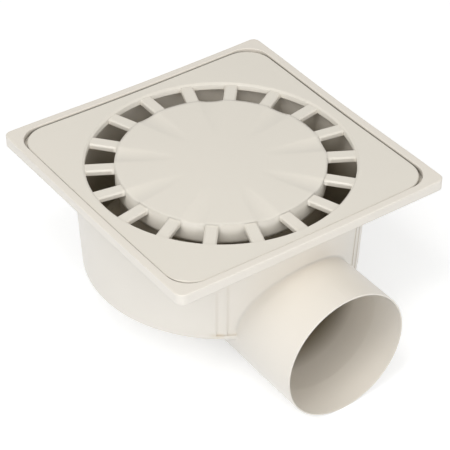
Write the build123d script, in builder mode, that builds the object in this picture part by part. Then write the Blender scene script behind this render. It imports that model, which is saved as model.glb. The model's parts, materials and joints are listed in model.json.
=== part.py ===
from build123d import *
import os
from math import atan, cos, sin, sqrt

# Square floor gully with a bell trap and a side outlet for a 110 mm drain pipe.
# Millimetres, +Z up. The origin is the middle of the frame, level with its four corners,
# where the finished floor comes. The outlet points along +X.

# Frame that is set into the floor
frame_side = 250.0
frame_corner_radius = 6.5
frame_height = 9.5
frame_edge_chamfer = 0.7
frame_rim_width = 6.8
side_dip = 1.65
ledge_thickness = 3.5
recess_corner_radius = 20.0
recess_edge_chamfer = 0.3

# Bowl under the frame
bowl_inset = 8.1
bowl_taper = 4.4
bowl_wall = 4.0
bowl_foot_chamfer = 5.0
bowl_inner_chamfer = 3.0

# Shallow panel that the mould's slide leaves in the bowl wall around the outlet
panel_angle = 74.0
panel_depth = 1.2
panel_border_angle = 4.2
panel_border_depth = 0.5
panel_ledge_height = 8.0

# Standpipe in the bowl, with the weir at its top
standpipe_wall = 3.5
standpipe_step = 4.0

# Side outlet
outlet_radius = 55.0
outlet_wall = 3.8
outlet_reach = 40.0
outlet_rise = 8.0
outlet_neck_relief = 0.6
outlet_neck_length = 20.0
outlet_lip = 1.2
outlet_lip_chamfer = 0.3
outlet_flare_length = 30.0

# Bell over the standpipe
bell_wall = 3.0
bell_shoulder = 5.0
bell_collar_clearance = 0.6
crown_clearance = 4.5
flow_gap = 17.0
seal_depth = 50.0
foot_gap = 10.0
fin_count = 4
fin_thickness = 3.0
fin_overhang = 3.0
fin_guide_length = 12.0
fin_guide_clearance = 0.8

# Grate in the frame's recess
grate_gap = 0.9
grate_corner_radius = 24.0
grate_edge_chamfer = 0.8
grate_sink = 1.0
boss_drop = 3.5
boss_clearance = 1.2
slot_count = 18
slot_margin = 5.5
slot_length = 23.4
slot_edge_chamfer = 1.6
rib_width = 10.6
rib_sink = 1.0
rib_edge_chamfer = 1.2
rib_root = 2.0
flute_start_radius = 36.0
flute_depth = 1.7
flute_width = 21.0
flute_overrun = 2.0
flute_cut_clearance = 0.3
collar_wall = 3.0
collar_lap = 8.0

# Plan sizes that follow from these
half_side = frame_side / 2
half_diagonal = half_side * sqrt(2)
fall = side_dip / (half_diagonal - half_side)
recess_side = frame_side - 2 * frame_rim_width
grate_side = recess_side - 2 * grate_gap
bowl_top_radius = half_side - bowl_inset
bowl_floor_radius = bowl_top_radius - bowl_taper
opening_radius = bowl_top_radius - bowl_wall
boss_radius = opening_radius - boss_clearance
slot_outer_radius = opening_radius - slot_margin
slot_inner_radius = slot_outer_radius - slot_length
collar_inner_radius = slot_inner_radius - collar_wall
bell_radius = collar_inner_radius - bell_collar_clearance
outlet_mouth = half_side + outlet_reach
outlet_bore_radius = outlet_radius - outlet_wall
neck_radius = outlet_radius - outlet_neck_relief
neck_wall = neck_radius - outlet_bore_radius
neck_start = bowl_top_radius - outlet_neck_length
flare_start = outlet_mouth - outlet_flare_length
channel_half_width = sqrt(outlet_bore_radius**2 - outlet_rise**2)
standpipe_bore_radius = channel_half_width - standpipe_step
standpipe_radius = standpipe_bore_radius + standpipe_wall
slot_pitch = 360 / slot_count
flute_length = slot_inner_radius - flute_start_radius
flute_count = slot_count // 2

# Levels, stacked downwards from the floor
seat_level = ledge_thickness - frame_height
boss_level = seat_level - boss_drop
crown_level = boss_level - crown_clearance
weir_level = crown_level - bell_wall - flow_gap
bell_foot_level = weir_level - seal_depth
bowl_floor_level = bell_foot_level - foot_gap
bowl_foot_level = bowl_floor_level - bowl_wall
outlet_level = bowl_foot_level + outlet_rise
collar_level = crown_level - collar_lap
disc_level = -grate_sink - fall * (half_diagonal - slot_inner_radius)
rib_level = disc_level - rib_sink
outlet_axis = Axis((0, 0, outlet_level), (1, 0, 0))


def space_above_fall(sink):
    """Space above the shallow cone on which the tops of frame and grate lie, flat over the disc."""
    flat_level = -sink - fall * (half_diagonal - slot_inner_radius)
    with BuildPart() as space:
        with BuildSketch(Plane.XZ):
            with BuildLine():
                Polyline(
                    (0, frame_height),
                    (0, flat_level),
                    (slot_inner_radius, flat_level),
                    (half_diagonal, -sink),
                    (half_diagonal, frame_height),
                    close=True,
                )
            make_face()
        revolve(axis=Axis.Z)
    return space.part


def edges_around(piece, inner, outer, level):
    """Edges of a square piece above a level, between two distances from its middle."""

    def is_around(edge):
        middle = edge.center()
        distance = max(abs(middle.X), abs(middle.Y))
        return inner < distance < outer and middle.Z > level

    return piece.edges().filter_by(Axis.Z, reverse=True).filter_by(is_around)


def round_channel(radius, end, reach):
    """Round bar along the outlet, from an end that slopes down at 45 degrees under the bowl."""
    with BuildPart() as channel:
        with BuildSketch(Plane.YZ.offset(end)):
            with Locations((0, outlet_level)):
                Circle(radius)
        extrude(amount=reach - end)
        split(bisect_by=Plane(origin=(end, 0, bowl_foot_level), z_dir=(1, 0, 1)), keep=Keep.TOP)
    return channel.part


def slide_cut(angle, depth):
    """What the mould's slide takes off the bowl's wall, over an angle around the outlet."""
    ledge_level = bowl_foot_level + panel_ledge_height
    with BuildPart() as cut:
        with BuildSketch(Plane.XZ.rotated((0, 0, -angle / 2))):
            with BuildLine():
                Polyline(
                    (bowl_top_radius - depth, -frame_height),
                    (bowl_top_radius + depth, -frame_height),
                    (bowl_floor_radius + depth, ledge_level),
                    (bowl_floor_radius - depth, ledge_level),
                    close=True,
                )
            make_face()
        revolve(axis=Axis.Z, revolution_arc=angle)
    return cut.part


# Outer form of the bowl, a drafted round pot with a bevelled foot
with BuildPart() as bowl_form:
    with BuildSketch(Plane.XZ) as bowl_section:
        with BuildLine():
            Polyline(
                (0, -frame_height),
                (bowl_top_radius, -frame_height),
                (bowl_floor_radius, bowl_foot_level),
                (0, bowl_foot_level),
                close=True,
            )
        make_face()
        chamfer(bowl_section.vertices().group_by(Axis.Y)[0].sort_by(Axis.X)[-1], bowl_foot_chamfer)
    revolve(axis=Axis.Z)

# Space inside the bowl, open at the top
with BuildPart() as bowl_space:
    with BuildSketch(Plane.XZ) as space_section:
        with BuildLine():
            Polyline(
                (0, frame_height),
                (opening_radius, frame_height),
                (opening_radius, -frame_height),
                (bowl_floor_radius - bowl_wall, bowl_floor_level),
                (0, bowl_floor_level),
                close=True,
            )
        make_face()
        chamfer(space_section.vertices().group_by(Axis.Y)[0].sort_by(Axis.X)[-1], bowl_inner_chamfer)
    revolve(axis=Axis.Z)

# Space inside the outlet: full round in the spigot, where it flares to the thin lip of the mouth,
# and its lower half runs on under the bowl's floor
with BuildPart() as outlet_space:
    add(round_channel(outlet_bore_radius, -channel_half_width, flare_start))
    with BuildSketch(Plane.XZ):
        with BuildLine():
            Polyline(
                (flare_start, outlet_level),
                (flare_start, outlet_level + outlet_bore_radius),
                (outlet_mouth, outlet_level + outlet_radius - outlet_lip),
                (outlet_mouth, outlet_level),
                close=True,
            )
        make_face()
    revolve(axis=outlet_axis)
    add(bowl_form.part, mode=Mode.SUBTRACT)

with BuildPart() as gully_body:
    # Frame, a flat square tray whose top falls slightly to the middle
    with BuildSketch():
        RectangleRounded(frame_side, frame_side, frame_corner_radius)
    extrude(amount=-frame_height)
    add(space_above_fall(0), mode=Mode.SUBTRACT)
    chamfer(edges_around(gully_body, recess_side / 2, frame_side, -frame_height), frame_edge_chamfer)
    with BuildSketch(Plane.XY.offset(seat_level)):
        RectangleRounded(recess_side, recess_side, recess_corner_radius)
    extrude(amount=frame_height, mode=Mode.SUBTRACT)
    recess_rim = edges_around(gully_body, opening_radius - slot_margin, recess_side / 2 + grate_gap, seat_level)
    chamfer(recess_rim, recess_edge_chamfer)
    # Bowl with the slide's panel in its wall
    add(bowl_form.part)
    add(slide_cut(panel_angle, panel_border_depth), mode=Mode.SUBTRACT)
    add(slide_cut(panel_angle - 2 * panel_border_angle, panel_depth), mode=Mode.SUBTRACT)
    # Channel under the bowl, then the neck that widens to the spigot
    add(round_channel(neck_radius, -channel_half_width - sqrt(2) * neck_wall, neck_start))
    with BuildSketch(Plane.XZ):
        with BuildLine():
            Polyline(
                (neck_start, outlet_level),
                (neck_start, outlet_level + neck_radius),
                (bowl_top_radius, outlet_level + outlet_radius),
                (outlet_mouth - outlet_lip_chamfer, outlet_level + outlet_radius),
                (outlet_mouth, outlet_level + outlet_radius - outlet_lip_chamfer),
                (outlet_mouth, outlet_level),
                close=True,
            )
        make_face()
    revolve(axis=outlet_axis)
    # Hollow the bowl, then stand the pipe in it and open the way to the outlet
    add(bowl_space.part, mode=Mode.SUBTRACT)
    with BuildSketch(Plane.XY.offset(bowl_floor_level)):
        Circle(standpipe_radius)
    extrude(amount=weir_level - bowl_floor_level)
    with BuildSketch(Plane.XY.offset(weir_level)):
        Circle(standpipe_bore_radius)
    extrude(amount=bowl_foot_level - standpipe_step / 2 - weir_level, mode=Mode.SUBTRACT)
    add(outlet_space.part, mode=Mode.SUBTRACT)

# One fin of the bell: its foot stands on the weir, its outer leg guides it down the standpipe
guide_radius = standpipe_radius + fin_guide_clearance
with BuildPart() as fin:
    with BuildSketch(Plane.XZ):
        with BuildLine():
            Polyline(
                (standpipe_bore_radius - fin_overhang, crown_level - bell_wall / 2),
                (standpipe_bore_radius - fin_overhang, weir_level),
                (guide_radius, weir_level),
                (guide_radius, weir_level - fin_guide_length),
                (bell_radius - bell_wall / 2, weir_level - fin_guide_length),
                (bell_radius - bell_wall / 2, crown_level - bell_wall / 2),
                close=True,
            )
        make_face()
    extrude(amount=fin_thickness / 2, both=True)

with BuildPart() as trap_bell:
    with BuildSketch(Plane.XZ) as bell_section:
        with BuildLine():
            Polyline(
                (0, crown_level),
                (bell_radius, crown_level),
                (bell_radius, bell_foot_level),
                (bell_radius - bell_wall, bell_foot_level),
                (bell_radius - bell_wall, crown_level - bell_wall),
                (0, crown_level - bell_wall),
                close=True,
            )
        make_face()
        shoulders = bell_section.vertices().group_by(Axis.Y)[-2:]
        chamfer([row.sort_by(Axis.X)[-1] for row in shoulders], bell_shoulder)
    revolve(axis=Axis.Z)
    with PolarLocations(0, fin_count):
        add(fin.part)

# One rib between two slots, sunk below the disc and with its upper edges broken
with BuildPart() as rib:
    with BuildSketch(Plane.YZ.offset(slot_inner_radius - rib_root)) as rib_section:
        with Locations((0, boss_level)):
            Rectangle(rib_width, rib_level - boss_level, align=(Align.CENTER, Align.MIN))
        chamfer(rib_section.vertices().group_by(Axis.Y)[-1], rib_edge_chamfer)
    extrude(amount=slot_length + 2 * rib_root)

# One flute, a round trough that starts on the disc and deepens to its rim. Its radius is the one
# that gives the width and the depth there. Only the sliver that cuts the disc is kept.
flute_dip = atan(flute_depth / flute_length)
flute_radius = flute_width**2 / (8 * flute_depth) + flute_depth / 2
flute_way = (cos(flute_dip), 0, -sin(flute_dip))
with BuildPart() as flute:
    with BuildSketch(Plane(origin=(flute_start_radius, 0, disc_level), x_dir=(0, 1, 0), z_dir=flute_way)):
        with Locations((0, flute_radius)):
            Circle(flute_radius)
    extrude(amount=(flute_length + flute_overrun) / cos(flute_dip), both=True)
    split(bisect_by=Plane.XY.offset(disc_level + flute_cut_clearance), keep=Keep.BOTTOM)

with BuildPart() as grate:
    # Square cover plate and the round boss under it, with the top falling to the flat disc
    with BuildSketch(Plane.XY.offset(seat_level)):
        RectangleRounded(grate_side, grate_side, grate_corner_radius)
    extrude(amount=-seat_level)
    add(space_above_fall(grate_sink), mode=Mode.SUBTRACT)
    chamfer(edges_around(grate, slot_outer_radius, frame_side, seat_level), grate_edge_chamfer)
    with BuildSketch(Plane.XY.offset(boss_level)):
        Circle(boss_radius)
    extrude(amount=boss_drop)
    # Ring of slots with the sunk ribs across it
    with BuildSketch(Plane.XY.offset(boss_level)):
        Circle(slot_outer_radius)
        Circle(slot_inner_radius, mode=Mode.SUBTRACT)
    extrude(amount=frame_height, mode=Mode.SUBTRACT)
    chamfer(grate.edges(Select.LAST).filter_by(lambda edge: edge.center().Z > rib_level), slot_edge_chamfer)
    with PolarLocations(0, flute_count, start_angle=1.5 * slot_pitch):
        add(flute.part, mode=Mode.SUBTRACT)
    # Collar under the disc, around the top of the bell
    with BuildSketch(Plane.XY.offset(collar_level)):
        Circle(slot_inner_radius)
        Circle(collar_inner_radius, mode=Mode.SUBTRACT)
    extrude(amount=boss_level - collar_level)
    with PolarLocations(0, slot_count):
        add(rib.part)

os.makedirs("parts", exist_ok=True)
for name, piece in (("gully_body", gully_body), ("trap_bell", trap_bell), ("grate", grate)):
    piece.part.label = name
    export_step(piece.part, f"parts/{name}.step")
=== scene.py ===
import functools
import json
import math

import bpy
from bpy.props import FloatProperty, FloatVectorProperty, PointerProperty
from mathutils import Matrix, Vector


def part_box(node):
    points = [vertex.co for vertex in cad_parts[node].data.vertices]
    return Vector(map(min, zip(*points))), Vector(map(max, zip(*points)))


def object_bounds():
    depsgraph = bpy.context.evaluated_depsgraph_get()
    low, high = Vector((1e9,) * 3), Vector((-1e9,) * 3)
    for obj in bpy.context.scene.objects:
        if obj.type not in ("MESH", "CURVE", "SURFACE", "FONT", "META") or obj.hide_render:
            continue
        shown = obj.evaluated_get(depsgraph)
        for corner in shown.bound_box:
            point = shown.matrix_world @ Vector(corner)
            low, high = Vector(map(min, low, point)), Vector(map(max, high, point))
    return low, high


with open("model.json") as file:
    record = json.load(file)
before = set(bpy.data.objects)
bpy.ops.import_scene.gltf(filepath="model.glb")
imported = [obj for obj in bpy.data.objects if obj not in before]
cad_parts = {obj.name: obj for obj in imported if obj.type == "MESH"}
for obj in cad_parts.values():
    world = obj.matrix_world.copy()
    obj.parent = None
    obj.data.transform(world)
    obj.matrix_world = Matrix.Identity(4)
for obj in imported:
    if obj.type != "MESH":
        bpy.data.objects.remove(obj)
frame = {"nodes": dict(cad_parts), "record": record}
CAD_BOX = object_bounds()

bl_info = {
    "name": "Floor gully dresser",
    "version": (1, 0, 0),
    "blender": (4, 5, 0),
    "location": "3D View > Sidebar > Gully",
    "description": "Finishes a square floor gully in moulded cream plastic and sets its stage",
    "category": "Object",
}

SENSOR_WIDTH = 36
PLASTIC_IOR = 1.53

# Places on the gully, in metres
MOUNTS = {mount["name"]: mount["pos_m"] for mount in frame["record"]["mounts"]}
OUTLET_LEVEL = MOUNTS["outlet_spigot"][2]
FRAME_FOOT = MOUNTS["floor_bed"][2]
FLOOR_LEVEL = CAD_BOX[0].z
OUTLET_MOUTH = CAD_BOX[1].x
LID_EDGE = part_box("grate")[1].x
PANEL_SIDE = 0.063
DISC_RIM = 0.084
DISC_TOP = -0.004
SLOT_WALL = 0.1074

# Stretches of the gully. Each row climbs from 0 to 1 from its first place to its second, along an axis
# or by the distance from the middle, and a stretch is the product of its rows.
# Where the narrow gap round the lid gets its painted shade
LID_GAP_SHADE = (
    ("Z", FRAME_FOOT - 0.003, FRAME_FOOT - 0.001),
    ("X", LID_EDGE - 0.0001, LID_EDGE - 0.0018),
)
SOFT_BOWL = (
    ("Z", FRAME_FOOT - 0.0005, FRAME_FOOT - 0.003),
    ("Z", OUTLET_LEVEL + 0.0025, OUTLET_LEVEL + 0.006),
    ("X", OUTLET_MOUTH - 0.017, OUTLET_MOUTH - 0.027),
    ("Y", PANEL_SIDE - 0.004, PANEL_SIDE - 0.012),
)
SOFT_DISC = (("Radius", DISC_RIM + 0.0025, DISC_RIM + 0.001),)
LEANING_RIM = (
    ("Radius", DISC_RIM - 0.001, DISC_RIM - 0.0002),
    ("Radius", DISC_RIM + 0.0035, DISC_RIM + 0.002),
    ("Z", DISC_TOP - 0.018, DISC_TOP - 0.004),
    ("Z", DISC_TOP - 0.0002, DISC_TOP - 0.0035),
)
LEANING_WALL = (
    ("Radius", SLOT_WALL - 0.0024, SLOT_WALL - 0.0009),
    ("Radius", SLOT_WALL + 0.0036, SLOT_WALL + 0.0021),
    ("Z", DISC_TOP - 0.016, DISC_TOP - 0.001),
)

# Limits of the inside of the bowl and the bore, where shade is painted; they run within the thickness of
# their walls
BODY_INSIDE = {
    "Bowl Radius": 0.1142,
    "Bowl Taper": 0.051,
    "Bowl Brim": FRAME_FOOT,
    "Bowl Floor": -0.096,
    "Bore Radius": 0.0514,
    "Bore Level": OUTLET_LEVEL,
    "Bore Start": -0.061,
    "Bore End": 0.112,
    "Bowl Fade": 0.05,
    "Bore Fade": 0.02,
}

# Silt on the two ledges at the foot of the slide's panel: place, reach and strength
LEDGE_X, LEDGE_Y = 0.0895, 0.0675
LEDGE_REACH = (0.009, 0.009, 0.0035)
LEDGE_SILT = (
    ((LEDGE_X, -LEDGE_Y, OUTLET_LEVEL), LEDGE_REACH, 0.55),
    ((LEDGE_X, LEDGE_Y, OUTLET_LEVEL), LEDGE_REACH, 0.4),
)

# Lamps by their place round the gully in degrees, their distance and side in metres, and their colour
LAMPS = {
    "key": {"azimuth": 15, "elevation": 55, "distance": 1.7, "side": 1.1, "colour": (1.0, 1.0, 0.997)},
    "front": {"azimuth": 30, "elevation": 30, "distance": 1.8, "side": 1.6, "colour": (0.956, 0.975, 1.0)},
    "side": {"azimuth": 95, "elevation": 25, "distance": 1.8, "side": 1.2, "colour": (0.971, 0.982, 1.0)},
    "glint": {"azimuth": 42, "elevation": 64, "distance": 1.6, "side": 0.35, "colour": (1.0, 0.99, 0.96)},
}
SKY_COLOUR = (1, 1, 0.987, 1)

# Floor where it is seen: its grey, and the glow that lifts it to white where no shadow falls
FLOOR_REACH = 6.0
SEEN_GREY = (0.8, 0.8, 0.8, 1)
SEEN_GLOW = 0.44


class GullyFinish(bpy.types.PropertyGroup):
    """Colours and surface sizes of the moulded plastic."""

    body_colour: FloatVectorProperty(
        name="Body", description="Plastic of the frame, bowl and outlet", subtype="COLOR",
        size=4, min=0, max=1, default=(0.785, 0.732, 0.652, 1),
    )
    # Painted shade: the bell's plastic is darkened to stand for the shade inside the bowl
    bell_colour: FloatVectorProperty(
        name="Bell", description="Plastic of the bell inside the bowl", subtype="COLOR",
        size=4, min=0, max=1, default=(0.46, 0.41, 0.33, 1),
    )
    grate_colour: FloatVectorProperty(
        name="Grate", description="Plastic of the slotted grate", subtype="COLOR",
        size=4, min=0, max=1, default=(0.760, 0.714, 0.632, 1),
    )
    speck_colour: FloatVectorProperty(
        name="Specks", description="Dark specks moulded into the plastic", subtype="COLOR",
        size=4, min=0, max=1, default=(0.30, 0.25, 0.19, 1),
    )
    silt_colour: FloatVectorProperty(
        name="Silt", description="Tan residue on the ledges beside the outlet", subtype="COLOR",
        size=4, min=0, max=1, default=(0.66, 0.56, 0.43, 1),
    )
    # Painted shade: a dark brown laid on the inside of the bowl and deep in the outlet, where the shade
    # falls
    damp_colour: FloatVectorProperty(
        name="Inside_shade", description="Plastic inside the bowl and deep in the outlet",
        subtype="COLOR", size=4, min=0, max=1, default=(0.34, 0.29, 0.21, 1),
    )
    # Painted shade: a near-black colour laid in the narrow gap round the lid, where the shade falls
    gap_colour: FloatVectorProperty(
        name="Gap", description="Painted_shade in the gap round the lid", subtype="COLOR",
        size=4, min=0, max=1, default=(0.09, 0.075, 0.05, 1),
    )
    gap_reach: FloatProperty(
        name="Gap Reach", description="How near two walls stand before the gap between them looks dark",
        default=0.004, min=0, subtype="DISTANCE", unit="LENGTH",
    )
    edge_radius: FloatProperty(
        name="Edge Radius", description="Rounding of the crisp edges", default=0.001,
        min=0, subtype="DISTANCE", unit="LENGTH",
    )
    bowl_radius: FloatProperty(
        name="Bowl Radius", description="Rounding of the edges on the bowl and the outlet's neck",
        default=0.005, min=0, subtype="DISTANCE", unit="LENGTH",
    )
    disc_radius: FloatProperty(
        name="Disc Radius", description="Rounding of the flutes and the rim of the grate's disc",
        default=0.004, min=0, subtype="DISTANCE", unit="LENGTH",
    )
    rim_lean: FloatProperty(
        name="Rim Lean", description="How far the shading of the disc's upright rim leans up",
        default=0.75, min=0,
    )
    wall_lean: FloatProperty(
        name="Wall Lean", description="How far the shading of the slots' outer walls leans up",
        default=0.45, min=0,
    )
    cloud_size: FloatProperty(
        name="Cloud Size", description="Size of the faint clouds in the plastic's colour", default=0.07,
        min=0.001, subtype="DISTANCE", unit="LENGTH",
    )
    grain_size: FloatProperty(
        name="Grain Size", description="Size of the mould's fine surface grain", default=0.0011,
        min=0.0001, subtype="DISTANCE", unit="LENGTH",
    )
    grain_depth: FloatProperty(
        name="Grain Depth", description="Depth of the mould's fine surface grain", default=0.00001,
        min=0, subtype="DISTANCE", unit="LENGTH",
    )
    speck_spacing: FloatProperty(
        name="Speck Spacing", description="Mean distance between specks in the plastic", default=0.026,
        min=0.001, subtype="DISTANCE", unit="LENGTH",
    )
    speck_size: FloatProperty(
        name="Speck Size", description="Radius of the largest specks", default=0.0006,
        min=0, subtype="DISTANCE", unit="LENGTH",
    )


class GullyStage(bpy.types.PropertyGroup):
    """Camera, lamps and floor."""

    azimuth: FloatProperty(
        name="Azimuth", description="Camera's turn round the gully, from behind the -Y side",
        default=math.radians(54.318), subtype="ANGLE", unit="ROTATION",
    )
    elevation: FloatProperty(
        name="Elevation", description="Camera's angle above the floor",
        default=math.radians(37.832), subtype="ANGLE", unit="ROTATION",
    )
    roll: FloatProperty(
        name="Roll", description="Camera's lean", default=math.radians(0.308),
        subtype="ANGLE", unit="ROTATION",
    )
    distance: FloatProperty(
        name="Distance", description="From the camera to the middle of the frame, along the view",
        default=1.46697, subtype="DISTANCE", unit="LENGTH",
    )
    aim_right: FloatProperty(
        name="Aim Right", description="Camera's place beside the middle of the frame", default=0.0032,
        subtype="DISTANCE", unit="LENGTH",
    )
    aim_down: FloatProperty(
        name="Aim Down", description="Camera's place below the middle of the frame, across the view",
        default=0.05484, subtype="DISTANCE", unit="LENGTH",
    )
    lens: FloatProperty(
        name="Focal Length", description="In millimetres, on a sensor 36 mm wide", default=149.25,
        min=1, subtype="DISTANCE_CAMERA",
    )
    key_power: FloatProperty(
        name="Key Power", description="Large soft lamp high at the left, in watts",
        default=7.3, min=0, subtype="POWER",
    )
    front_power: FloatProperty(
        name="Front Power", description="Large soft lamp left of the camera, in watts",
        default=9.4, min=0, subtype="POWER",
    )
    side_power: FloatProperty(
        name="Side Power", description="Large soft lamp low in front of the outlet, in watts",
        default=8.5, min=0, subtype="POWER",
    )
    glint_power: FloatProperty(
        name="Glint Power", description="Small lamp overhead that draws the edges, in watts",
        default=3, min=0, subtype="POWER",
    )
    sky_strength: FloatProperty(
        name="Sky", description="Even light from all round", default=0.436, min=0,
    )
    floor_colour: FloatVectorProperty(
        name="Floor", description="Pale studio floor", subtype="COLOR", size=4, min=0, max=1,
        default=(0.84, 0.88, 0.94, 1),
    )


def add_node(tree, kind, values=None, **settings):
    """A new node with its settings and the start values of its inputs."""
    node = tree.nodes.new(kind)
    for name, value in settings.items():
        setattr(node, name, value)
    for name, value in (values or {}).items():
        node.inputs[name].default_value = value
    return node


def new_group(name, inputs, outputs):
    """An empty shader node group with named sockets, and its input and output nodes."""
    tree = bpy.data.node_groups.new(name, "ShaderNodeTree")
    for socket, kind in inputs.items():
        tree.interface.new_socket(socket, in_out="INPUT", socket_type=kind)
    for socket, kind in outputs.items():
        tree.interface.new_socket(socket, in_out="OUTPUT", socket_type=kind)
    return tree, tree.nodes.new("NodeGroupInput"), tree.nodes.new("NodeGroupOutput")


def place_group(tree, maker, values):
    """A node group placed with its own values. It is made the first time and shared from then on."""
    node = tree.nodes.new("ShaderNodeGroup")
    node.node_tree = bpy.data.node_groups.get(maker.__name__) or maker()
    for name, value in values.items():
        node.inputs[name].default_value = value
    return node


def calculate(tree, operation, first, second, **settings):
    """Socket of a sum, product or other operation on two sockets."""
    node = add_node(tree, "ShaderNodeMath", operation=operation, **settings)
    tree.links.new(first, node.inputs[0])
    tree.links.new(second, node.inputs[1])
    return node.outputs[0]


def calculate_all(tree, operation, sockets):
    """Socket of one operation carried through several sockets in order."""
    return functools.reduce(functools.partial(calculate, tree, operation), sockets)


def noise_of_size(tree, size_socket, detail):
    """Noise on Object coordinates whose blotches have the size that a socket gives."""
    place = add_node(tree, "ShaderNodeTexCoord")
    scale = add_node(tree, "ShaderNodeMath", {0: 1.0}, operation="DIVIDE")
    noise = add_node(tree, "ShaderNodeTexNoise", {"Detail": detail, "Roughness": 0.55})
    tree.links.new(size_socket, scale.inputs[1])
    tree.links.new(place.outputs["Object"], noise.inputs["Vector"])
    tree.links.new(scale.outputs[0], noise.inputs["Scale"])
    return noise.outputs["Fac"]


def moulded_skin():
    """Node group: cloudy colour of a moulded plastic, its uneven shine and its fine grain."""
    tree, given, result = new_group(
        "moulded_skin",
        {
            "Colour": "NodeSocketColor",
            "Mottle": "NodeSocketFloat",
            "Mottle Size": "NodeSocketFloat",
            "Grain Size": "NodeSocketFloat",
            "Low Roughness": "NodeSocketFloat",
            "High Roughness": "NodeSocketFloat",
        },
        {"Colour": "NodeSocketColor", "Roughness": "NodeSocketFloat", "Height": "NodeSocketFloat"},
    )
    clouds = noise_of_size(tree, given.outputs["Mottle Size"], 3)
    grain = noise_of_size(tree, given.outputs["Grain Size"], 2)
    darkest = add_node(tree, "ShaderNodeMath", {0: 1.0}, operation="SUBTRACT")
    lightest = add_node(tree, "ShaderNodeMath", {0: 1.0}, operation="ADD")
    shade = add_node(tree, "ShaderNodeMapRange")
    tint = add_node(tree, "ShaderNodeHueSaturation")
    shine = add_node(tree, "ShaderNodeMapRange", {"From Min": 0.3, "From Max": 0.7})
    links = tree.links
    links.new(given.outputs["Mottle"], darkest.inputs[1])
    links.new(given.outputs["Mottle"], lightest.inputs[1])
    links.new(clouds, shade.inputs["Value"])
    links.new(darkest.outputs[0], shade.inputs["To Min"])
    links.new(lightest.outputs[0], shade.inputs["To Max"])
    links.new(given.outputs["Colour"], tint.inputs["Color"])
    links.new(shade.outputs["Result"], tint.inputs["Value"])
    links.new(clouds, shine.inputs["Value"])
    links.new(given.outputs["Low Roughness"], shine.inputs["To Min"])
    links.new(given.outputs["High Roughness"], shine.inputs["To Max"])
    links.new(tint.outputs["Color"], result.inputs["Colour"])
    links.new(shine.outputs["Result"], result.inputs["Roughness"])
    links.new(grain, result.inputs["Height"])
    return tree


def moulded_specks():
    """Node group: mask of small specks scattered through the plastic, where the surface cuts them."""
    tree, given, result = new_group(
        "moulded_specks",
        {"Spacing": "NodeSocketFloat", "Size": "NodeSocketFloat"},
        {"Mask": "NodeSocketFloat"},
    )
    place = add_node(tree, "ShaderNodeTexCoord")
    scale = add_node(tree, "ShaderNodeMath", {0: 1.0}, operation="DIVIDE")
    reach = add_node(tree, "ShaderNodeMath", operation="DIVIDE")
    cells = add_node(tree, "ShaderNodeTexVoronoi", feature="F1", distance="EUCLIDEAN")
    share = add_node(tree, "ShaderNodeSeparateColor")
    radius = add_node(tree, "ShaderNodeMath", operation="MULTIPLY")
    mask = add_node(tree, "ShaderNodeMapRange", {"From Min": 0.0, "To Min": 1.0, "To Max": 0.0})
    links = tree.links
    links.new(given.outputs["Spacing"], scale.inputs[1])
    links.new(given.outputs["Size"], reach.inputs[0])
    links.new(given.outputs["Spacing"], reach.inputs[1])
    links.new(place.outputs["Object"], cells.inputs["Vector"])
    links.new(scale.outputs[0], cells.inputs["Scale"])
    links.new(cells.outputs["Color"], share.inputs["Color"])
    links.new(share.outputs["Red"], radius.inputs[0])
    links.new(reach.outputs[0], radius.inputs[1])
    links.new(cells.outputs["Distance"], mask.inputs["Value"])
    links.new(radius.outputs[0], mask.inputs["From Max"])
    links.new(mask.outputs["Result"], result.inputs["Mask"])
    return tree


def settled_silt():
    """Node group: ragged patch of residue round one place, fading out over its reach."""
    tree, given, result = new_group(
        "settled_silt",
        {"Place": "NodeSocketVector", "Reach": "NodeSocketVector", "Strength": "NodeSocketFloat"},
        {"Mask": "NodeSocketFloat"},
    )
    place = add_node(tree, "ShaderNodeTexCoord")
    away = add_node(tree, "ShaderNodeVectorMath", operation="SUBTRACT")
    share = add_node(tree, "ShaderNodeVectorMath", operation="DIVIDE")
    distance = add_node(tree, "ShaderNodeVectorMath", operation="LENGTH")
    noise = add_node(tree, "ShaderNodeTexNoise", {"Scale": 260.0, "Detail": 3.0})
    ragged = add_node(tree, "ShaderNodeMath", operation="ADD")
    fade = add_node(
        tree, "ShaderNodeMapRange", {"From Min": 0.6, "From Max": 1.5, "To Min": 1.0, "To Max": 0.0},
        interpolation_type="SMOOTHSTEP",
    )
    amount = add_node(tree, "ShaderNodeMath", operation="MULTIPLY")
    links = tree.links
    links.new(place.outputs["Object"], away.inputs[0])
    links.new(given.outputs["Place"], away.inputs[1])
    links.new(away.outputs["Vector"], share.inputs[0])
    links.new(given.outputs["Reach"], share.inputs[1])
    links.new(share.outputs["Vector"], distance.inputs[0])
    links.new(place.outputs["Object"], noise.inputs["Vector"])
    links.new(distance.outputs["Value"], ragged.inputs[0])
    links.new(noise.outputs["Fac"], ragged.inputs[1])
    links.new(ragged.outputs[0], fade.inputs["Value"])
    links.new(fade.outputs["Result"], amount.inputs[0])
    links.new(given.outputs["Strength"], amount.inputs[1])
    links.new(amount.outputs[0], result.inputs["Mask"])
    return tree


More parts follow.
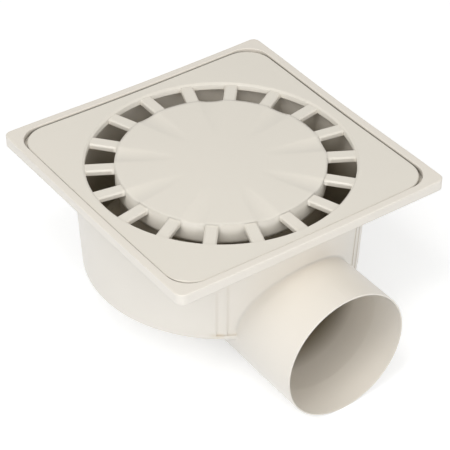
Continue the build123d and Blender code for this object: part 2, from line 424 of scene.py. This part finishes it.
def damp_inside():
    """Node group: mask of painted shade on the bowl's inner wall below its brim, and in a round bore up to
    its end.

    A point counts as inside where it is nearer to the bowl's or the bore's axis than that one's radius.
    The bowl's radius shrinks by the taper with the depth below its brim, down to its floor. The bore starts
    at a face that leans by 45 degrees, given by its place on the bore's axis.
    """
    bowl_inputs = [f"Bowl {name}" for name in ("Radius", "Taper", "Brim", "Floor", "Fade")]
    bore_inputs = [f"Bore {name}" for name in ("Radius", "Level", "Start", "End", "Fade")]
    tree, given, result = new_group(
        "damp_inside",
        dict.fromkeys(bowl_inputs + bore_inputs, "NodeSocketFloat"),
        {"Mask": "NodeSocketFloat"},
    )
    place = add_node(tree, "ShaderNodeTexCoord")
    axes = add_node(tree, "ShaderNodeSeparateXYZ")
    tree.links.new(place.outputs["Object"], axes.inputs[0])
    calc = functools.partial(calculate, tree)

    def distance(first, second):
        squares = calc("ADD", calc("MULTIPLY", first, first), calc("MULTIPLY", second, second))
        root = add_node(tree, "ShaderNodeMath", operation="SQRT")
        tree.links.new(squares, root.inputs[0])
        return root.outputs[0]

    x, y, z = (axes.outputs[name] for name in "XYZ")
    radius, taper, brim, floor, fade = (given.outputs[name] for name in bowl_inputs)
    depth = calc("SUBTRACT", brim, z)
    wall = calc("SUBTRACT", radius, calc("MULTIPLY", depth, taper))
    in_bowl = calc("MULTIPLY", calc("LESS_THAN", distance(x, y), wall), calc("GREATER_THAN", z, floor))
    bowl = calc("MULTIPLY", in_bowl, calc("DIVIDE", depth, fade, use_clamp=True))
    radius, level, start, end, fade = (given.outputs[name] for name in bore_inputs)
    above_axis = calc("SUBTRACT", z, level)
    near_axis = calc("LESS_THAN", distance(y, above_axis), radius)
    in_bore = calc("MULTIPLY", near_axis, calc("GREATER_THAN", calc("ADD", x, above_axis), start))
    bore = calc("MULTIPLY", in_bore, calc("DIVIDE", calc("SUBTRACT", end, x), fade, use_clamp=True))
    tree.links.new(calc("MAXIMUM", bowl, bore), result.inputs["Mask"])
    return tree


def lay_over(tree, mask, under, colour):
    """Colour socket with a plain colour laid over another one where a mask says."""
    mix = add_node(tree, "ShaderNodeMix", data_type="RGBA")
    colours = [socket for socket in mix.inputs if socket.type == "RGBA"]
    colours[1].default_value = colour
    tree.links.new(mask, mix.inputs["Factor"])
    tree.links.new(under, colours[0])
    return next(socket for socket in mix.outputs if socket.type == "RGBA")


def ramp(tree, measure, start, end):
    """Socket that climbs from 0 to 1 between two places on an axis, or two distances from the middle."""
    place = add_node(tree, "ShaderNodeTexCoord")
    axes = add_node(tree, "ShaderNodeSeparateXYZ")
    tree.links.new(place.outputs["Object"], axes.inputs[0])
    value = axes.outputs.get(measure)
    if value is None:
        flat = add_node(tree, "ShaderNodeCombineXYZ")
        length = add_node(tree, "ShaderNodeVectorMath", operation="LENGTH")
        for axis in "XY":
            tree.links.new(axes.outputs[axis], flat.inputs[axis])
        tree.links.new(flat.outputs["Vector"], length.inputs[0])
        value = length.outputs["Value"]
    slope = add_node(tree, "ShaderNodeMapRange", {"From Min": start, "From Max": end})
    tree.links.new(value, slope.inputs["Value"])
    return slope.outputs["Result"]


def stretch(tree, ramps):
    """Socket that is 1 on a stretch of the gully: the product of its ramps."""
    return calculate_all(tree, "MULTIPLY", [ramp(tree, *row) for row in ramps])


def edge_rounding(tree, crisp, soft, ramps):
    """Radius socket of the edges: the soft one on a stretch, else the crisp one."""
    radius = add_node(tree, "ShaderNodeMapRange", {"To Min": crisp, "To Max": soft})
    tree.links.new(stretch(tree, ramps), radius.inputs["Value"])
    return radius.outputs["Result"]


def lean_up(tree, normal, amount, ramps):
    """Normal socket turned upward on a stretch, as on a wall with a rounded top."""
    share = add_node(tree, "ShaderNodeMath", {1: amount}, operation="MULTIPLY")
    lift = add_node(tree, "ShaderNodeCombineXYZ")
    total = add_node(tree, "ShaderNodeVectorMath", operation="ADD")
    unit = add_node(tree, "ShaderNodeVectorMath", operation="NORMALIZE")
    tree.links.new(stretch(tree, ramps), share.inputs[0])
    tree.links.new(share.outputs[0], lift.inputs["Z"])
    tree.links.new(normal, total.inputs[0])
    tree.links.new(lift.outputs["Vector"], total.inputs[1])
    tree.links.new(total.outputs["Vector"], unit.inputs[0])
    return unit.outputs["Vector"]


def lid_gap():
    """Node group: mask of painted shade in the narrow gap round the lid.

    It is near 1 where faces stand closer together than the reach, and 0 on open faces and below the gap.
    The straight gap on the outlet's side stays light.
    """
    tree, given, result = new_group(
        "lid_gap", {"Reach": "NodeSocketFloat"}, {"Mask": "NodeSocketFloat"},
    )
    openness = add_node(tree, "ShaderNodeAmbientOcclusion", samples=12)
    closed = add_node(tree, "ShaderNodeMapRange", {"From Min": 0.5, "From Max": 0.05})
    tree.links.new(given.outputs["Reach"], openness.inputs["Distance"])
    tree.links.new(openness.outputs["AO"], closed.inputs["Value"])
    mask = calculate(tree, "MULTIPLY", closed.outputs["Result"], stretch(tree, LID_GAP_SHADE))
    tree.links.new(mask, result.inputs["Mask"])
    return tree


def moulded_plastic(name, finish, colour, mottle, roughness, silt=(), inside=None, soft=None, lean=()):
    """Satin moulded plastic with clouds, specks, fine grain, rounded edges, settled silt, and painted shade
    in gaps and hollows.
    """
    material = bpy.data.materials.new(name)
    material.use_nodes = True
    tree = material.node_tree
    shader = tree.nodes["Principled BSDF"]
    shader.inputs["IOR"].default_value = PLASTIC_IOR
    skin = place_group(
        tree,
        moulded_skin,
        {
            "Colour": colour,
            "Mottle": mottle,
            "Mottle Size": finish.cloud_size,
            "Grain Size": finish.grain_size,
            "Low Roughness": roughness[0],
            "High Roughness": roughness[1],
        },
    )
    specks = place_group(
        tree, moulded_specks, {"Spacing": finish.speck_spacing, "Size": finish.speck_size},
    )
    colour_now = lay_over(tree, specks.outputs["Mask"], skin.outputs["Colour"], finish.speck_colour)
    for place, reach, strength in silt:
        patch = place_group(tree, settled_silt, {"Place": place, "Reach": reach, "Strength": strength})
        colour_now = lay_over(tree, patch.outputs["Mask"], colour_now, finish.silt_colour)
    # Painted shade: the inside of the bowl and the bore darkened in colour, where little light reaches
    if inside:
        inside_shade_mask = place_group(tree, damp_inside, inside)
        colour_now = lay_over(tree, inside_shade_mask.outputs["Mask"], colour_now, finish.damp_colour)
    # Painted shade: the narrow gap round the lid darkened where its walls stand close together
    gap = place_group(tree, lid_gap, {"Reach": finish.gap_reach})
    colour_now = lay_over(tree, gap.outputs["Mask"], colour_now, finish.gap_colour)
    edges = add_node(tree, "ShaderNodeBevel", {"Radius": finish.edge_radius}, samples=12)
    if soft:
        radius, ramps = soft
        tree.links.new(edge_rounding(tree, finish.edge_radius, radius, ramps), edges.inputs["Radius"])
    normal = edges.outputs["Normal"]
    for amount, ramps in lean:
        normal = lean_up(tree, normal, amount, ramps)
    grain = add_node(tree, "ShaderNodeBump", {"Strength": 1.0, "Distance": finish.grain_depth})
    tree.links.new(colour_now, shader.inputs["Base Color"])
    tree.links.new(skin.outputs["Roughness"], shader.inputs["Roughness"])
    tree.links.new(skin.outputs["Height"], grain.inputs["Height"])
    tree.links.new(normal, grain.inputs["Normal"])
    tree.links.new(grain.outputs["Normal"], shader.inputs["Normal"])
    return material


def dress(node, material):
    """Puts a finish on one of the gully's pieces."""
    for slot in frame["nodes"][node].material_slots:
        slot.material = material


class GULLY_OT_body(bpy.types.Operator):
    """Finish the frame, bowl and outlet, with painted shade inside them and in the gap round the lid"""

    bl_idname = "gully.body"
    bl_label = "Body"

    def execute(self, context):
        finish = context.scene.gully_finish
        plastic = moulded_plastic(
            "body_plastic", finish, finish.body_colour, mottle=0.018, roughness=(0.30, 0.38),
            silt=LEDGE_SILT, inside=BODY_INSIDE, soft=(finish.bowl_radius, SOFT_BOWL),
        )
        dress("gully_body", plastic)
        return {"FINISHED"}


class GULLY_OT_bell(bpy.types.Operator):
    """Finish the bell of the trap, darkened to paint the shade inside the bowl"""

    bl_idname = "gully.bell"
    bl_label = "Bell"

    def execute(self, context):
        finish = context.scene.gully_finish
        # Painted shade: the bell's dark colour stands for the shade inside the bowl
        plastic = moulded_plastic(
            "bell_plastic", finish, finish.bell_colour, mottle=0.03, roughness=(0.35, 0.45),
        )
        dress("trap_bell", plastic)
        return {"FINISHED"}


class GULLY_OT_grate(bpy.types.Operator):
    """Finish the slotted grate"""

    bl_idname = "gully.grate"
    bl_label = "Grate"

    def execute(self, context):
        finish = context.scene.gully_finish
        plastic = moulded_plastic(
            "grate_plastic", finish, finish.grate_colour, mottle=0.015, roughness=(0.29, 0.37),
            soft=(finish.disc_radius, SOFT_DISC),
            lean=((finish.rim_lean, LEANING_RIM), (finish.wall_lean, LEANING_WALL)),
        )
        dress("grate", plastic)
        return {"FINISHED"}


def view_axes(azimuth, elevation, roll):
    """Unit vectors to the right, down and back of a camera."""
    back = Vector(
        (
            math.sin(azimuth) * math.cos(elevation),
            -math.cos(azimuth) * math.cos(elevation),
            math.sin(elevation),
        )
    )
    level = Vector((math.cos(azimuth), math.sin(azimuth), 0))
    plumb = level.cross(back)
    right = math.cos(roll) * level - math.sin(roll) * plumb
    down = math.sin(roll) * level + math.cos(roll) * plumb
    return right, down, back


def make_camera(scene, stage):
    """Camera at the photograph's angle."""
    right, down, back = view_axes(stage.azimuth, stage.elevation, stage.roll)
    data = bpy.data.cameras.new("camera")
    data.sensor_width = SENSOR_WIDTH
    data.lens = stage.lens
    camera = bpy.data.objects.new("camera", data)
    place = back * stage.distance + right * stage.aim_right + down * stage.aim_down
    camera.matrix_world = Matrix.Translation(place) @ Matrix((right, -down, back)).transposed().to_4x4()
    scene.collection.objects.link(camera)
    scene.camera = camera


def make_lamp(scene, name, power, azimuth, elevation, distance, side, colour):
    """Square soft lamp that shines on the middle of the frame."""
    right, down, back = view_axes(math.radians(azimuth), math.radians(elevation), 0)
    data = bpy.data.lights.new(name, "AREA")
    data.size = side
    data.energy = power
    data.color = colour
    lamp = bpy.data.objects.new(name, data)
    lamp.matrix_world = (
        Matrix.Translation(back * distance) @ Matrix((right, -down, back)).transposed().to_4x4()
    )
    scene.collection.objects.link(lamp)


def seen_directly(tree):
    """Socket that is 1 for what the camera sees, straight or in a gloss or glass."""
    path = add_node(tree, "ShaderNodeLightPath")
    rays = "Is Camera Ray", "Is Glossy Ray", "Is Transmission Ray"
    return calculate_all(tree, "MAXIMUM", [path.outputs[ray] for ray in rays])


def make_sky(scene, strength):
    """Even world light that is plain white where it is seen."""
    world = bpy.data.worlds.new("sky")
    world.use_nodes = True
    tree = world.node_tree
    lit = tree.nodes["Background"]
    lit.inputs["Color"].default_value = SKY_COLOUR
    lit.inputs["Strength"].default_value = strength
    white = add_node(tree, "ShaderNodeBackground", {"Color": (1, 1, 1, 1), "Strength": 1.0})
    mix = add_node(tree, "ShaderNodeMixShader")
    tree.links.new(seen_directly(tree), mix.inputs["Fac"])
    tree.links.new(lit.outputs[0], mix.inputs[1])
    tree.links.new(white.outputs[0], mix.inputs[2])
    tree.links.new(mix.outputs[0], tree.nodes["World Output"].inputs["Surface"])
    scene.world = world


def floor_material(colour):
    """Matt pale floor that turns white where the camera sees it lit, and keeps the shadow."""
    material = bpy.data.materials.new("studio_floor")
    material.use_nodes = True
    tree = material.node_tree
    bounce = tree.nodes["Principled BSDF"]
    bounce.inputs["Base Color"].default_value = colour
    bounce.inputs["Roughness"].default_value = 0.9
    matt = add_node(tree, "ShaderNodeBsdfDiffuse", {"Color": SEEN_GREY})
    glow = add_node(tree, "ShaderNodeEmission", {"Color": (1, 1, 1, 1), "Strength": SEEN_GLOW})
    seen = add_node(tree, "ShaderNodeAddShader")
    mix = add_node(tree, "ShaderNodeMixShader")
    tree.links.new(matt.outputs[0], seen.inputs[0])
    tree.links.new(glow.outputs[0], seen.inputs[1])
    tree.links.new(seen_directly(tree), mix.inputs["Fac"])
    tree.links.new(bounce.outputs[0], mix.inputs[1])
    tree.links.new(seen.outputs[0], mix.inputs[2])
    tree.links.new(mix.outputs[0], tree.nodes["Material Output"].inputs["Surface"])
    return material


def make_floor(scene, colour):
    """Square floor under the gully's lowest point."""
    mesh = bpy.data.meshes.new("floor")
    near, far = -FLOOR_REACH, FLOOR_REACH
    corners = [(x, y, FLOOR_LEVEL) for x, y in ((near, near), (far, near), (far, far), (near, far))]
    mesh.from_pydata(corners, [], [(0, 1, 2, 3)])
    mesh.materials.append(floor_material(colour))
    floor = bpy.data.objects.new("floor", mesh)
    scene.collection.objects.link(floor)


class GULLY_OT_stage(bpy.types.Operator):
    """Set the floor, the soft studio light and the camera"""

    bl_idname = "gully.stage"
    bl_label = "Stage"

    def execute(self, context):
        scene = context.scene
        stage = scene.gully_stage
        scene.view_settings.view_transform = "Standard"
        make_sky(scene, stage.sky_strength)
        make_floor(scene, stage.floor_colour)
        for name, place in LAMPS.items():
            make_lamp(scene, name, getattr(stage, f"{name}_power"), **place)
        make_camera(scene, stage)
        return {"FINISHED"}


class GULLY_PT_panel(bpy.types.Panel):
    """Steps and settings of the gully"""

    bl_idname = "GULLY_PT_panel"
    bl_label = "Floor gully"
    bl_space_type = "VIEW_3D"
    bl_region_type = "UI"
    bl_category = "Gully"

    def draw(self, context):
        scene = context.scene
        for step in STEPS:
            self.layout.operator(step.bl_idname)
        for settings in (scene.gully_finish, scene.gully_stage):
            for name in settings.__annotations__:
                self.layout.prop(settings, name)


STEPS = (GULLY_OT_body, GULLY_OT_bell, GULLY_OT_grate, GULLY_OT_stage)
CLASSES = (GullyFinish, GullyStage, *STEPS, GULLY_PT_panel)


def register():
    for cls in CLASSES:
        bpy.utils.register_class(cls)
    bpy.types.Scene.gully_finish = PointerProperty(type=GullyFinish)
    bpy.types.Scene.gully_stage = PointerProperty(type=GullyStage)


def unregister():
    del bpy.types.Scene.gully_stage
    del bpy.types.Scene.gully_finish
    for cls in reversed(CLASSES):
        bpy.utils.unregister_class(cls)


def main():
    """Runs every step in order."""
    register()
    bpy.ops.gully.body()
    bpy.ops.gully.bell()
    bpy.ops.gully.grate()
    bpy.ops.gully.stage()


if __name__ == "__main__":
    main()
